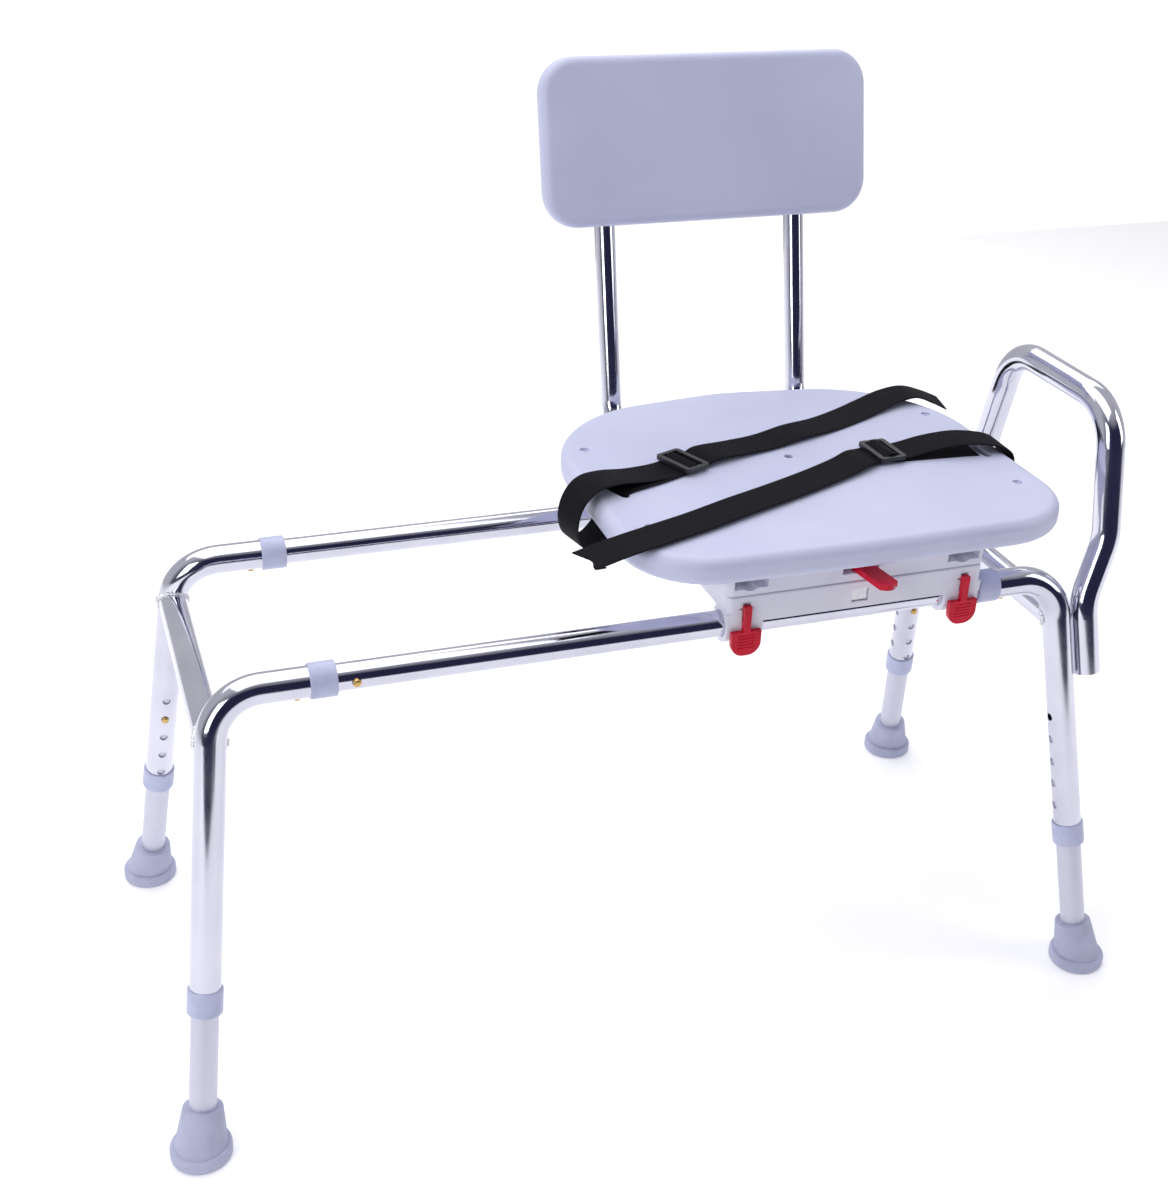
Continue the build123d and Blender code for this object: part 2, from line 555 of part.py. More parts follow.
for sx in (-1, 1):
    for up in BACK_SCREW_UP:
        place = Pos(sx * POST_X, up, -BACK_THICK)
        inner -= place * extrude(Circle(8), BACK_THICK)
        panel -= place * Pos(0, 0, -1) * extrude(Circle(2.5), 15)
        shank = place * Pos(0, 0, -POST_D - 1.5) * extrude(Circle(2.4), POST_D + 1.5 + 13)
        head = place * Pos(0, 0, -POST_D - 4.0) * extrude(Circle(5.5), 2.6)
        back_screws.append(at_carriage(back_plane * (shank + head)))
panel -= inner
parts["backrest_shell"] = at_carriage(back_plane * panel)
parts["backrest_screws"] = Compound(back_screws)
for side, sx in SIDES:
    for up in BACK_SCREW_UP:
        place = back_plane * Pos(sx * POST_X, up, -BACK_THICK - POST_D - 6)
        parts[f"back_post_{side}"] -= at_carriage(place * extrude(Circle(2.5), POST_D + 6))

# ---- belt: two webbing halves looped through the seat's slots, each with a tri-glide buckle ----
top_z = SEAT_TOP_Z + 0.4 + BELT_THICK / 2
layer = BELT_THICK + 0.4
low_z = SEAT_LOW_Z - 0.6 - BELT_THICK / 2


def belt_band(points, width=BELT_WIDTH):
    """Band of webbing from a side outline (distance along the belt, height), centred on its line."""
    upright = Plane(origin=(0, width / 2, 0), x_dir=(1, 0, 0), z_dir=(0, -1, 0))
    return upright * extrude(trace(Polyline(*points), BELT_THICK), width)


EDGE_OUT = 50.0
LOOP_OUT = 61.0
left_turn = Pos(-SLOT_X, SLOT_Y, 0) * Rot(0, 0, BELT_LEFT_ANGLE)
left_points = [
    (96.0, top_z),
    (3.0, top_z),
    (0.0, top_z - 4),
    (0.0, low_z + 2),
    (-4.0, low_z),
    (-EDGE_OUT + 8, low_z),
    (-LOOP_OUT, low_z + 12),
    (-LOOP_OUT + 1, top_z - 7),
    (-EDGE_OUT + 6, top_z + layer),
    (418.0, top_z + layer),
    (436.0, top_z + layer + 5),
]
parts["belt_left"] = at_carriage(left_turn * belt_band(left_points))
BUCKLE_ALONG = 92.0
buckle_z = top_z + layer + BELT_THICK / 2 + 0.3


def buckle_solid():
    """Tri-glide: flat frame with two slots and a centre bar."""
    plate_shape = RectangleRounded(BUCKLE[1], BUCKLE[0] - 8, 4)
    for x in (-6.5, 6.5):
        plate_shape -= Pos(x, 0) * RectangleRounded(6.5, BELT_WIDTH + 2, 1.5)
    return Pos(0, 0, buckle_z) * extrude(plate_shape, BUCKLE[2])


parts["buckle_left"] = at_carriage(left_turn * Pos(BUCKLE_ALONG, 0, 0) * buckle_solid())

right_turn = Pos(SLOT_X, SLOT_Y, 0) * Rot(0, 0, 180 + BELT_RIGHT_ANGLE)
EDGE_OUT_RIGHT = 34.0
right_points = [
    (112.0, top_z),
    (3.0, top_z),
    (0.0, top_z - 4),
    (0.0, low_z + 2),
    (-4.0, low_z),
    (-EDGE_OUT_RIGHT + 10, low_z),
    (-EDGE_OUT_RIGHT - 2, low_z + 8),
    (-EDGE_OUT_RIGHT - 2, top_z - 7),
    (-EDGE_OUT_RIGHT + 8, top_z + layer),
    (112.0, top_z + layer),
]
right_belt = right_turn * belt_band(right_points)
joint = right_turn * Pos(108.0, 0, 0)
tail_turn = Rot(0, 0, BELT_TAIL_ANGLE - BELT_RIGHT_ANGLE)
tail_points = [(-14.0, top_z + layer), (378.0, top_z + layer), (396.0, top_z + layer - 2)]
right_belt += joint * tail_turn * belt_band(tail_points)
parts["belt_right"] = at_carriage(right_belt)
buckle_turn = Rot(0, 0, 6)
parts["buckle_right"] = at_carriage(right_turn * Pos(BUCKLE_ALONG, 0, 0) * buckle_turn * buckle_solid())

# ---- bench origin and files ----
boxes = [shape.bounding_box() for shape in parts.values()]
low_x, high_x = min(b.min.X for b in boxes), max(b.max.X for b in boxes)
low_y, high_y = min(b.min.Y for b in boxes), max(b.max.Y for b in boxes)
low_box_z = min(b.min.Z for b in boxes)
SHIFT = Vector(-(low_x + high_x) / 2, -(low_y + high_y) / 2, -low_box_z)

os.makedirs("parts", exist_ok=True)
for name, shape in parts.items():
    solids = shape.solids()
    moved = [Pos(SHIFT) * solid for solid in solids]
    export_step(moved[0] if len(moved) == 1 else Compound(moved), f"parts/{name}.step")
print("nodes", len(parts), "shift", SHIFT)
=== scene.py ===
import math

import bmesh
import bpy
from mathutils import Matrix, Vector


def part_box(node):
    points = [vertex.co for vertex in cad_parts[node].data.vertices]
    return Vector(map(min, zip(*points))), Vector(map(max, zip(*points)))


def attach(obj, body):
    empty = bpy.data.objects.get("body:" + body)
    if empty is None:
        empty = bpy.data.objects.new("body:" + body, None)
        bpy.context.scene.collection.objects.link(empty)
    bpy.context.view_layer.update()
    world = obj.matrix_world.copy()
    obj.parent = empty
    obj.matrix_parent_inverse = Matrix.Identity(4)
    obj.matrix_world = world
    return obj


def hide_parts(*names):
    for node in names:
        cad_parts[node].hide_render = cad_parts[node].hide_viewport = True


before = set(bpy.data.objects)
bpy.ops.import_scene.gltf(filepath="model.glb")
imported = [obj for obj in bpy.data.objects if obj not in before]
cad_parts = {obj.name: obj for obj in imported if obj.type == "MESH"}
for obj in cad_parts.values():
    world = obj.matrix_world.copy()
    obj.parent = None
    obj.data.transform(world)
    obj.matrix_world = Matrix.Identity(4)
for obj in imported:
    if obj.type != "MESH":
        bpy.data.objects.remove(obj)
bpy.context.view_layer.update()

# ---- Camera and studio -------------------------------------------------------------------------
# A pale floor under four soft lights: above, front left, right, and one that washes the floor
# behind. The sky is light, with a dark band in front that the polished tubes show as dark streaks.
MM = 0.001
front_rail_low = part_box("front_rail")[0]
rear_rail_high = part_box("rear_rail")[1]
mid_y = (front_rail_low.y + rear_rail_high.y) / 2

CAMERA_PLACE = Vector((-0.5334, mid_y - 1.3664, 1.1871))
HEADING = math.radians(19.97)
TILT = math.radians(28.30)
ROLL = math.radians(2.16)
camera_data = bpy.data.cameras.new("camera")
camera_data.lens = 49.84
camera_data.sensor_width = 36.0
camera = bpy.data.objects.new("camera", camera_data)
turn = Matrix.Rotation(-HEADING, 3, "Z") @ Matrix.Rotation(math.pi / 2 - TILT, 3, "X")
turn = turn @ Matrix.Rotation(ROLL, 3, "Z")
camera.rotation_euler = turn.to_euler()
camera.location = CAMERA_PLACE
bpy.context.scene.collection.objects.link(camera)
bpy.context.scene.camera = camera
bpy.context.scene.view_settings.view_transform = "Standard"


def add_light(name, place, aim, size, power):
    data = bpy.data.lights.new(name, "AREA")
    data.shape = "RECTANGLE"
    data.size, data.size_y = size
    data.energy = power
    light = bpy.data.objects.new(name, data)
    light.location = place
    light.rotation_euler = (Vector(aim) - Vector(place)).to_track_quat("-Z", "Y").to_euler()
    bpy.context.scene.collection.objects.link(light)


add_light("top_softbox", (-0.5, -0.1, 2.9), (0, 0, 0.4), (3.0, 2.2), 30)
add_light("front_left_softbox", (-2.4, -1.9, 1.5), (0, 0, 0.4), (1.2, 1.8), 30)
add_light("right_softbox", (2.4, -1.1, 1.5), (0, 0, 0.4), (0.9, 1.8), 14)
add_light("floor_wash", (0.0, 1.6, 2.2), (0, 1.9, 0), (4.0, 1.6), 34)


FLOOR_HALF_SIZE = (14, 2)
FLOOR_MIDDLE_Y = 0.3


def floor_material():
    material = bpy.data.materials.new("studio_floor")
    material.use_nodes = True
    shader = material.node_tree.nodes["Principled BSDF"]
    shader.inputs["Base Color"].default_value = (0.93, 0.93, 0.94, 1)
    shader.inputs["Roughness"].default_value = 0.9
    shader.inputs["Emission Color"].default_value = (1.0, 1.0, 1.0, 1)
    shader.inputs["Emission Strength"].default_value = 0.2
    return material


mesh = bpy.data.meshes.new("floor")
bm = bmesh.new()
bmesh.ops.create_grid(bm, x_segments=1, y_segments=1, size=1)
bmesh.ops.scale(bm, vec=(*FLOOR_HALF_SIZE, 1), verts=bm.verts)
bmesh.ops.translate(bm, vec=(0, FLOOR_MIDDLE_Y, 0), verts=bm.verts)
bm.to_mesh(mesh)
bm.free()
floor = bpy.data.objects.new("floor", mesh)
floor.data.materials.append(floor_material())
bpy.context.scene.collection.objects.link(floor)

world = bpy.data.worlds.new("studio")
bpy.context.scene.world = world
world.use_nodes = True
sky = world.node_tree
sky.nodes.clear()
out = sky.nodes.new("ShaderNodeOutputWorld")
back = sky.nodes.new("ShaderNodeBackground")
coords = sky.nodes.new("ShaderNodeTexCoord")
split = sky.nodes.new("ShaderNodeSeparateXYZ")
rise = sky.nodes.new("ShaderNodeValToRGB")
round_view = sky.nodes.new("ShaderNodeMapRange")
round_view.interpolation_type = "SMOOTHSTEP"
round_view.inputs["From Min"].default_value = 0.15
round_view.inputs["From Max"].default_value = -0.55
dark_share = sky.nodes.new("ShaderNodeMath")
dark_share.operation = "MULTIPLY"
shade = sky.nodes.new("ShaderNodeMix")
shade.data_type = "RGBA"
path = sky.nodes.new("ShaderNodeLightPath")
shown = sky.nodes.new("ShaderNodeMix")
shown.data_type = "RGBA"
SKY_STRENGTH = 0.62
DARK_BAND = ((0.0, 0.0), (0.36, 0.0), (0.41, 1.0), (0.78, 1.0), (0.90, 0.35), (1.0, 0.0))
lift = sky.nodes.new("ShaderNodeMapRange")
lift.inputs["From Min"].default_value = -1.0
lift.inputs["From Max"].default_value = 1.0
while len(rise.color_ramp.elements) < len(DARK_BAND):
    rise.color_ramp.elements.new(0.5)
for element, (spot, share) in zip(rise.color_ramp.elements, DARK_BAND):
    element.position = spot
    element.color = (share, share, share, 1)
shade.inputs["A"].default_value = (0.95, 0.95, 1.0, 1)
shade.inputs["B"].default_value = (0.040, 0.042, 0.100, 1)
shown.inputs["B"].default_value = (1.7, 1.7, 1.7, 1)
sky.links.new(coords.outputs["Generated"], split.inputs[0])
sky.links.new(split.outputs["Z"], lift.inputs["Value"])
sky.links.new(lift.outputs[0], rise.inputs[0])
sky.links.new(split.outputs["Y"], round_view.inputs["Value"])
sky.links.new(rise.outputs[0], dark_share.inputs[0])
sky.links.new(round_view.outputs[0], dark_share.inputs[1])
sky.links.new(dark_share.outputs[0], shade.inputs["Factor"])
sky.links.new(path.outputs["Is Camera Ray"], shown.inputs["Factor"])
sky.links.new(shade.outputs["Result"], shown.inputs["A"])
sky.links.new(shown.outputs["Result"], back.inputs[0])
back.inputs[1].default_value = SKY_STRENGTH
sky.links.new(back.outputs[0], out.inputs[0])


# ---- Tubes -------------------------------------------------------------------------------------
# The end frames, rails, cross tubes, grab bar and back posts are drawn aluminium tube, bent cold
# and polished bright, with faint draw lines and a light haze from handling.
def new_material(name, colour, roughness, metallic=0.0):
    material = bpy.data.materials.new(name)
    material.use_nodes = True
    shader = material.node_tree.nodes["Principled BSDF"]
    shader.inputs["Base Color"].default_value = (*colour, 1)
    shader.inputs["Roughness"].default_value = roughness
    shader.inputs["Metallic"].default_value = metallic
    return material, material.node_tree, shader


def add_noise(tree, scale, detail=3.0, stretch=(1, 1, 1)):
    coords = tree.nodes.new("ShaderNodeTexCoord")
    mapping = tree.nodes.new("ShaderNodeMapping")
    mapping.inputs["Scale"].default_value = stretch
    noise = tree.nodes.new("ShaderNodeTexNoise")
    noise.inputs["Scale"].default_value = scale
    noise.inputs["Detail"].default_value = detail
    tree.links.new(coords.outputs["Object"], mapping.inputs[0])
    tree.links.new(mapping.outputs[0], noise.inputs[0])
    return noise


def link_range(tree, source, target, low, high, from_low=0.3, from_high=0.7):
    scale = tree.nodes.new("ShaderNodeMapRange")
    scale.inputs["From Min"].default_value = from_low
    scale.inputs["From Max"].default_value = from_high
    scale.inputs["To Min"].default_value = low
    scale.inputs["To Max"].default_value = high
    tree.links.new(source, scale.inputs["Value"])
    tree.links.new(scale.outputs[0], target)


def link_tint(tree, source, target, dark, light):
    ramp = tree.nodes.new("ShaderNodeValToRGB")
    ramp.color_ramp.elements[0].position = 0.3
    ramp.color_ramp.elements[0].color = (*dark, 1)
    ramp.color_ramp.elements[1].position = 0.7
    ramp.color_ramp.elements[1].color = (*light, 1)
    tree.links.new(source, ramp.inputs[0])
    tree.links.new(ramp.outputs[0], target)


def add_bump(tree, shader, source, strength, distance):
    bump = tree.nodes.new("ShaderNodeBump")
    bump.inputs["Strength"].default_value = strength
    bump.inputs["Distance"].default_value = distance
    tree.links.new(source, bump.inputs["Height"])
    if shader.inputs["Normal"].links:
        tree.links.new(shader.inputs["Normal"].links[0].from_socket, bump.inputs["Normal"])
    tree.links.new(bump.outputs[0], shader.inputs["Normal"])


def tube_material(name, stretch):
    material, tree, shader = new_material(name, (0.80, 0.80, 0.88), 0.14, 1.0)
    haze = add_noise(tree, 14, 4)
    link_range(tree, haze.outputs[0], shader.inputs["Roughness"], 0.07, 0.15)
    link_tint(tree, haze.outputs[0], shader.inputs["Base Color"], (0.58, 0.58, 0.67), (0.68, 0.68, 0.76))
    lines = add_noise(tree, 900, 2, stretch)
    add_bump(tree, shader, lines.outputs[0], 0.05, 0.0002)
    return material


def dress(material, *names):
    """Gives a node that is already the right shape its finish."""
    for name in names:
        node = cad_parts[name]
        node.data.materials.clear()
        node.data.materials.append(material)


along_x = tube_material("polished_tube_along_x", (0.02, 1, 1))
along_y = tube_material("polished_tube_along_y", (1, 0.02, 1))
along_z = tube_material("polished_tube_along_z", (1, 1, 0.02))
dress(along_x, "front_rail", "rear_rail")
dress(along_y, "left_cross_tube", "right_cross_tube")
dress(along_z, "left_front_tube", "left_rear_tube", "right_front_tube", "right_rear_tube")
dress(along_z, "grab_bar", "back_post_left", "back_post_right")

# ---- Weld beads --------------------------------------------------------------------------------
# Filler metal joins each stub of the grab bar to its leg, and each end of a cross tube to a leg
# all round. The overlapping puddles are left rough and bright, as the torch leaves them.
weld_material, tree, shader = new_material("weld_bead", (0.80, 0.80, 0.84), 0.35, 1.0)
ripple = add_noise(tree, 260, 3)
add_bump(tree, shader, ripple.outputs[0], 0.4, 0.0006)
link_range(tree, ripple.outputs[0], shader.inputs["Roughness"], 0.22, 0.45)
puddles = tree.nodes.new("ShaderNodeTexWave")
puddles.bands_direction = "Z"
puddles.inputs["Scale"].default_value = 95
puddles.inputs["Distortion"].default_value = 1.2
where = tree.nodes.new("ShaderNodeTexCoord")
tree.links.new(where.outputs["Object"], puddles.inputs["Vector"])
add_bump(tree, shader, puddles.outputs["Fac"], 0.9, 0.0012)
dress(weld_material, "weld_beads")

TUBE_RADIUS = 0.0143
LEG_TOP_X = 0.418
LEG_TOP_Y = 0.127
LEG_SPREAD = (0.052, 0.090, 0.433)
RING_BEADS = 30
BEAD_RADIUS = 0.0027


def weld_ring(bm, side_x, side_y, cross_x, cross_z):
    """Ring of overlapping puddles where a cross tube meets a leg."""
    down = Vector((side_x * LEG_SPREAD[0], side_y * LEG_SPREAD[1], -LEG_SPREAD[2])).normalized()
    corner = Vector((side_x * LEG_TOP_X, mid_y + side_y * LEG_TOP_Y, LEG_SPREAD[2]))
    for bead in range(RING_BEADS):
        angle = 2 * math.pi * bead / RING_BEADS
        round_x = cross_x + TUBE_RADIUS * math.cos(angle)
        round_z = cross_z + TUBE_RADIUS * math.sin(angle)
        start = Vector((round_x, mid_y, round_z))
        gap = start - corner
        a = 1 - down.y**2
        b = gap.y - gap.dot(down) * down.y
        c = gap.length_squared - gap.dot(down) ** 2 - TUBE_RADIUS**2
        reach = (-b - side_y * math.sqrt(max(b * b - a * c, 0))) / a
        spot = start + Vector((0, reach, 0))
        made = bmesh.ops.create_icosphere(bm, subdivisions=2, radius=BEAD_RADIUS)
        bmesh.ops.translate(bm, vec=spot, verts=made["verts"])


bm = bmesh.new()
for side_x, tube in ((-1, "left_cross_tube"), (1, "right_cross_tube")):
    low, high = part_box(tube)
    for side_y in (-1, 1):
        weld_ring(bm, side_x, side_y, (low.x + high.x) / 2, (low.z + high.z) / 2)
mesh = bpy.data.meshes.new("cross_tube_welds")
bm.to_mesh(mesh)
bm.free()
mesh.shade_smooth()
cross_welds = bpy.data.objects.new("cross_tube_welds", mesh)
mesh.materials.append(weld_material)
bpy.context.scene.collection.objects.link(cross_welds)
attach(cross_welds, "frame")

# ---- Collars -----------------------------------------------------------------------------------
# Grey moulded caps pressed over the ends of the outer tubes, so that the inner tube runs in
# plastic and the cut edge is covered.
collar_material, tree, shader = new_material("collar_plastic", (0.42, 0.45, 0.60), 0.38)
mottle = add_noise(tree, 60, 4)
link_tint(tree, mottle.outputs[0], shader.inputs["Base Color"], (0.44, 0.47, 0.66), (0.52, 0.55, 0.75))
grain = add_noise(tree, 1400, 2)
add_bump(tree, shader, grain.outputs[0], 0.12, 0.0002)
dress(collar_material, "rail_collars", "leg_collars")

# ---- Lower legs --------------------------------------------------------------------------------
# Inner tubes in satin anodised aluminium. They carry the rubber tips and slide in the outer legs.
satin_material, tree, shader = new_material("satin_tube", (0.62, 0.62, 0.72), 0.42, 0.6)
brushed = add_noise(tree, 700, 2, (1, 1, 0.03))
link_range(tree, brushed.outputs[0], shader.inputs["Roughness"], 0.36, 0.50)
add_bump(tree, shader, brushed.outputs[0], 0.06, 0.0002)
LEGS = ("left_front", "left_rear", "right_front", "right_rear")
dress(satin_material, *[f"lower_leg_{leg}" for leg in LEGS])

# ---- Rubber tips -------------------------------------------------------------------------------
# Flared ferrules moulded in grey rubber and pushed on to the lower legs, with a wide ring that
# stands flat on the floor.
rubber_material, tree, shader = new_material("tip_rubber", (0.36, 0.38, 0.48), 0.62)
dust = add_noise(tree, 35, 5)
link_tint(tree, dust.outputs[0], shader.inputs["Base Color"], (0.38, 0.40, 0.54), (0.48, 0.50, 0.66))
pores = add_noise(tree, 900, 3)
add_bump(tree, shader, pores.outputs[0], 0.2, 0.0003)
link_range(tree, dust.outputs[0], shader.inputs["Roughness"], 0.52, 0.72)
dress(rubber_material, *[f"leg_tip_{leg}" for leg in LEGS])

# ---- Buttons and small metal -------------------------------------------------------------------
# Brass snap buttons on spring-steel clips, and plated steel screws, pins and nuts.
brass_material, tree, shader = new_material("button_brass", (0.62, 0.42, 0.14), 0.25, 1.0)
tarnish = add_noise(tree, 500, 3)
link_tint(tree, tarnish.outputs[0], shader.inputs["Base Color"], (0.42, 0.26, 0.08), (0.72, 0.50, 0.20))
steel_material, tree, shader = new_material("plated_steel", (0.62, 0.62, 0.66), 0.3, 1.0)
scuff = add_noise(tree, 300, 3)
link_range(tree, scuff.outputs[0], shader.inputs["Roughness"], 0.22, 0.42)
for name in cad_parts:
    if "button" in name and "springs" not in name:
        dress(brass_material, name)
dress(steel_material, "rail_button_springs", "lever_spring", "lever_pin", "pivot_bolt", "pivot_nut")
dress(steel_material, "latch_pins", "catch_plate", "seat_screws", "post_bolts", "backrest_screws")
dress(steel_material, *[f"leg_spring_{leg}" for leg in LEGS])

# ---- Carriage and swivel plate -----------------------------------------------------------------
# Injection mouldings in white plastic, with a fine spark-eroded grain on their faces.
white_material, tree, shader = new_material("carriage_plastic", (0.76, 0.76, 0.86), 0.42)
cloud = add_noise(tree, 22, 4)
link_tint(tree, cloud.outputs[0], shader.inputs["Base Color"], (0.72, 0.72, 0.82), (0.79, 0.79, 0.88))
grain = add_noise(tree, 1600, 2)
add_bump(tree, shader, grain.outputs[0], 0.12, 0.0002)
dress(white_material, "carriage_base", "swivel_plate", "rail_glides", "turntable_ring")

# ---- Red latches and lever ---------------------------------------------------------------------
# Glossy red levers, so that the user finds them at once: two rail latches and the swivel lever.
red_material, tree, shader = new_material("lever_red", (0.50, 0.005, 0.03), 0.18)
depth = add_noise(tree, 45, 3)
link_tint(tree, depth.outputs[0], shader.inputs["Base Color"], (0.50, 0.0, 0.018), (0.64, 0.001, 0.030))
shader.inputs["Coat Weight"].default_value = 0.08
shader.inputs["Specular IOR Level"].default_value = 0.2
shader.inputs["Coat Roughness"].default_value = 0.06
peel = add_noise(tree, 420, 2)
add_bump(tree, shader, peel.outputs[0], 0.05, 0.0003)
dress(red_material, "latch_left", "latch_right", "swivel_lever")


RIB_COUNT = 5
RIB_SIZE = (0.017, 0.0012, 0.0013)
RIB_PITCH = 0.0032
FIRST_RIB_UP = 0.008
RIB_ROUNDING = 0.0004


def grip_ribs(name, latch):
    """Five low ribs moulded across the front of a latch's paddle, for the finger."""
    low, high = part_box(latch)
    bm = bmesh.new()
    for rib in range(RIB_COUNT):
        made = bmesh.ops.create_cube(bm, size=1)
        bmesh.ops.scale(bm, vec=RIB_SIZE, verts=made["verts"])
        spot = ((low.x + high.x) / 2, low.y, low.z + FIRST_RIB_UP + rib * RIB_PITCH)
        bmesh.ops.translate(bm, vec=spot, verts=made["verts"])
    bmesh.ops.bevel(
        bm, geom=bm.edges[:], offset=RIB_ROUNDING, segments=2, affect="EDGES", profile=0.5, material=-1
    )
    mesh = bpy.data.meshes.new(name)
    bm.to_mesh(mesh)
    bm.free()
    mesh.materials.append(red_material)
    ribs = bpy.data.objects.new(name, mesh)
    bpy.context.scene.collection.objects.link(ribs)
    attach(ribs, latch)


grip_ribs("latch_ribs_left", "latch_left")
grip_ribs("latch_ribs_right", "latch_right")

# ---- Seat and backrest -------------------------------------------------------------------------
# Blow-moulded boards in pale grey plastic: rounded all round, with a soft sheen and the faint
# orange peel that the mould leaves.
seat_material, tree, shader = new_material("seat_plastic", (0.56, 0.58, 0.76), 0.40)
cloud = add_noise(tree, 9, 5)
link_tint(tree, cloud.outputs[0], shader.inputs["Base Color"], (0.535, 0.555, 0.735), (0.585, 0.605, 0.785))
grain = add_noise(tree, 1100, 3)
add_bump(tree, shader, grain.outputs[0], 0.16, 0.0003)
link_range(tree, cloud.outputs[0], shader.inputs["Roughness"], 0.36, 0.46)
dress(seat_material, "seat_shell", "backrest_shell", "corner_plugs")

# ---- Lap belt ----------------------------------------------------------------------------------
# Two lengths of black polypropylene webbing. Each is sewn round its buckle's bar, runs down through a
# slot in the seat, round the edge in a loose loop, back through the buckle and away as a free tail.
WEBBING_WIDTH = 0.038
WEBBING_THICK = 0.0014
SELVEDGE_ROUNDING = 0.0004
seat_low, seat_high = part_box("seat_shell")
seat_middle = Vector(((seat_low.x + seat_high.x) / 2, mid_y, seat_high.z))


def webbing_material():
    material, tree, shader = new_material("belt_webbing", (0.010, 0.010, 0.013), 0.62)
    shader.inputs["Specular IOR Level"].default_value = 0.06
    place = tree.nodes.new("ShaderNodeUVMap")
    ribs = tree.nodes.new("ShaderNodeTexWave")
    ribs.bands_direction = "X"
    ribs.inputs["Scale"].default_value = 160
    picks = tree.nodes.new("ShaderNodeTexWave")
    picks.bands_direction = "Y"
    picks.inputs["Scale"].default_value = 330
    picks.inputs["Distortion"].default_value = 0.6
    weave = tree.nodes.new("ShaderNodeMath")
    weave.operation = "MULTIPLY"
    for wave in (ribs, picks):
        tree.links.new(place.outputs[0], wave.inputs["Vector"])
    tree.links.new(ribs.outputs["Fac"], weave.inputs[0])
    tree.links.new(picks.outputs["Fac"], weave.inputs[1])
    black = shader.inputs["Base Color"]
    link_tint(tree, weave.outputs[0], black, (0.005, 0.005, 0.007), (0.018, 0.018, 0.024))
    add_bump(tree, shader, weave.outputs[0], 0.7, 0.0004)
    fuzz = add_noise(tree, 800, 3)
    link_range(tree, fuzz.outputs[0], shader.inputs["Roughness"], 0.5, 0.75)
    return material


def smooth_route(points, steps=6):
    """Evenly divided curve through given points of place and heading."""
    knots = [Vector(p) for p in points]
    knots = [2 * knots[0] - knots[1]] + knots + [2 * knots[-1] - knots[-2]]
    route = []
    for a, b, c, d in zip(knots, knots[1:], knots[2:], knots[3:]):
        for step in range(steps):
            t = step / steps
            route.append(0.5 * (2 * b + (c - a) * t + (2 * a - 5 * b + 4 * c - d) * t**2
                                + (3 * b - a - 3 * c + d) * t**3))
    return route + [knots[-2]]


def webbing(name, points, cut_back):
    """Band of webbing laid along a route, with its width level and square to its heading."""
    route = smooth_route(points)
    bm = bmesh.new()
    across = 8
    bmesh.ops.create_grid(bm, x_segments=len(route) - 1, y_segments=across, size=0.5, calc_uvs=True)
    uv = bm.loops.layers.uv.verify()
    gone = [0.0]
    for here, there in zip(route, route[1:]):
        gone.append(gone[-1] + (Vector(there[:3]) - Vector(here[:3])).length * MM)
    length = gone[-1]
    for vert in bm.verts:
        step = round((vert.co.x + 0.5) * (len(route) - 1))
        side = vert.co.y
        x, y, z, heading = route[step]
        turn = math.radians(heading)
        trim = cut_back * MM * (0.5 - side) if step == len(route) - 1 else 0.0
        edge = Vector((-math.sin(turn), math.cos(turn), 0)) * side * WEBBING_WIDTH
        back = Vector((math.cos(turn), math.sin(turn), 0)) * trim
        for loop in vert.link_loops:
            loop[uv].uv = (side * WEBBING_WIDTH, gone[step])
        vert.co = seat_middle + Vector((x, y, z)) * MM + edge + back
    bmesh.ops.recalc_face_normals(bm, faces=bm.faces)
    bmesh.ops.solidify(bm, geom=bm.faces[:], thickness=WEBBING_THICK)
    mesh = bpy.data.meshes.new(name)
    bm.to_mesh(mesh)
    bm.free()
    for face in mesh.polygons:
        face.use_smooth = True
    belt = bpy.data.objects.new(name, mesh)
    bpy.context.scene.collection.objects.link(belt)
    soften = belt.modifiers.new("round_selvedge", "BEVEL")
    soften.width = SELVEDGE_ROUNDING
    soften.segments = 2
    soften.limit_method = "ANGLE"
    return belt, length


REAR_BELT = (
    (-106, 31, 1.6, 21), (-150, 12, 1.4, 21), (-186, -1, 1.4, 21), (-198, -5, -3, 21), (-200, -6, -14, 21),
    (-201, -7, -25, 20), (-208, -11, -34, 18), (-221, -16, -44, 15), (-236, -21, -47, 13),
    (-248, -25, -36, 12), (-252, -26, -17, 12), (-245, -22, 2, 13), (-228, -14, 13, 16),
    (-203, -3, 12, 19), (-172, 8, 6, 20), (-146, 16, 3.4, 21), (-129, 22, 3.0, 21.5), (-121, 25, 6.0, 21.5),
    (-114.4, 27.7, 9.4, 21.5), (-108, 30, 6.0, 21.5), (-100, 33, 3.2, 21.5), (-84, 38, 8, 22),
    (-45, 50, 5, 20), (-10, 60, 3.5, 19), (30, 73, 5.5, 21), (70, 88, 3, 23), (108, 105, 3, 24),
    (142, 121, 5, 22), (172, 133, 8, 14), (198, 137, 9, 2), (220, 135, 2, -8), (238, 131, -6, -12),
)
belt_rear, rear_length = webbing("belt_rear", REAR_BELT, 0)
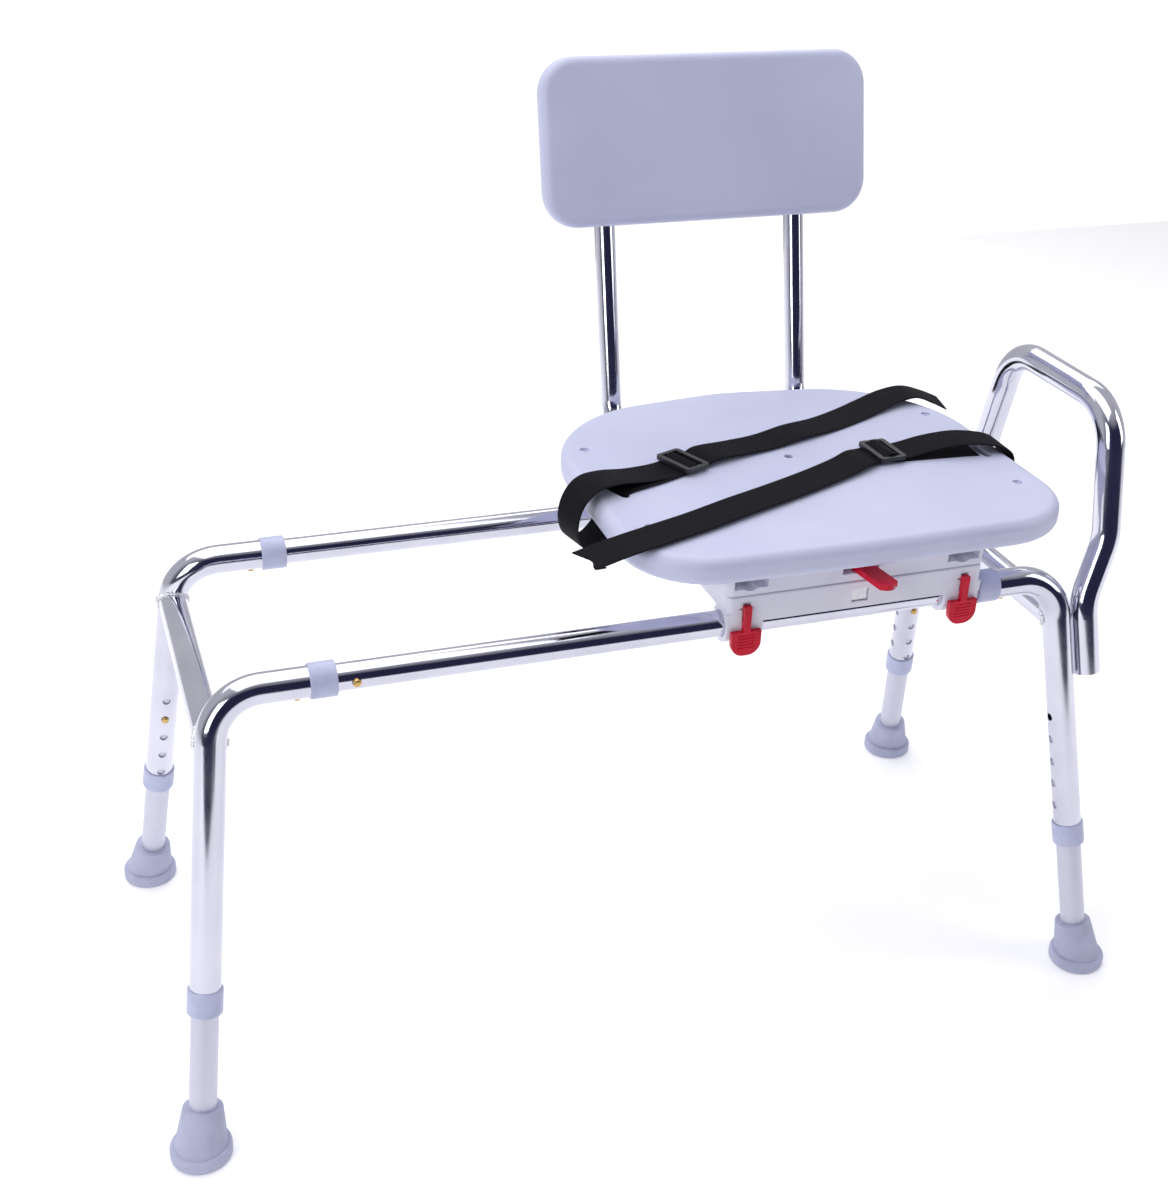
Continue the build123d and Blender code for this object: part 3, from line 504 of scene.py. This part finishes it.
FRONT_BELT = (
    (100, 1, 1.6, -4), (150, -2, 1.4, -4), (187, -5, 1.4, -4), (198, -6, -3, -4), (200, -6, -14, -4),
    (201, -6, -25, -4), (209, -7, -30, -4), (222, -8, -30, -3), (231.5, -9, -21, -2), (232, -9, -7, -2),
    (225, -9, 3, -2), (209, -7, 9, -2), (180, -3, 12, -1), (148, 0, 9, 0), (122, 0, 4.5, 0),
    (109, 0, 3.0, 2), (101, 0.5, 6.0, 2), (93.3, 1.0, 9.4, 3), (86, 0, 6.0, 5), (77, -3, 3.2, 10),
    (60, -12, 6.5, 20), (40, -22, 4.5, 25), (0, -40, 3.5, 24), (-50, -61, 3.5, 24), (-100, -81, 4, 23),
    (-150, -101, 3.5, 22), (-195, -117, 3.5, 20), (-238, -132, 3, 19), (-276, -144, 0, 18),
)
belt_front, front_length = webbing("belt_front", FRONT_BELT, 10)
black_webbing = webbing_material()
belts = ((belt_rear, "belt_left", rear_length), (belt_front, "belt_right", front_length))
for belt, cad_belt, length in belts:
    belt.data.materials.append(black_webbing)
    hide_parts(cad_belt)
    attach(belt, "seat")

# ---- Buckles -----------------------------------------------------------------------------------
# Black moulded tri-glides: a flat frame with a bar across the middle that the webbing grips.
# Each is the buckle's own solid, moved to where the webbing humps over the bar.
buckle_material, tree, shader = new_material("buckle_plastic", (0.014, 0.014, 0.017), 0.34)
haze = add_noise(tree, 180, 3)
link_range(tree, haze.outputs[0], shader.inputs["Roughness"], 0.26, 0.44)
link_tint(tree, haze.outputs[0], shader.inputs["Base Color"], (0.010, 0.010, 0.013), (0.022, 0.022, 0.027))


FLAT_WITHIN = math.radians(2)


def tri_glide(name, cad_name, x, y, turn):
    """Buckle centred on a place given in millimetres from the seat's middle, and turned on it."""
    cad_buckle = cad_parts[cad_name]
    low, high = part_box(cad_name)
    bm = bmesh.new()
    bm.from_mesh(cad_buckle.data)
    bm.transform(cad_buckle.matrix_world)
    bmesh.ops.dissolve_limit(bm, angle_limit=FLAT_WITHIN, verts=bm.verts[:], edges=bm.edges[:])
    middle = (low + high) / 2
    place = Vector((seat_middle.x + x * MM, seat_middle.y + y * MM, middle.z))
    bm.transform(Matrix.Translation(place) @ Matrix.Rotation(turn, 4, "Z") @ Matrix.Translation(-middle))
    mesh = bpy.data.meshes.new(name)
    bm.to_mesh(mesh)
    bm.free()
    mesh.materials.clear()
    mesh.materials.append(buckle_material)
    buckle = bpy.data.objects.new(name, mesh)
    bpy.context.scene.collection.objects.link(buckle)
    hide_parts(cad_name)
    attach(buckle, "seat")


REAR_HUMP = (-114.4, 27.7)
FRONT_HUMP = (93.3, 1.0)
FRONT_BUCKLE_TURN = math.radians(-7)
tri_glide("tri_glide_rear", "buckle_left", *REAR_HUMP, 0)
tri_glide("tri_glide_front", "buckle_right", *FRONT_HUMP, FRONT_BUCKLE_TURN)
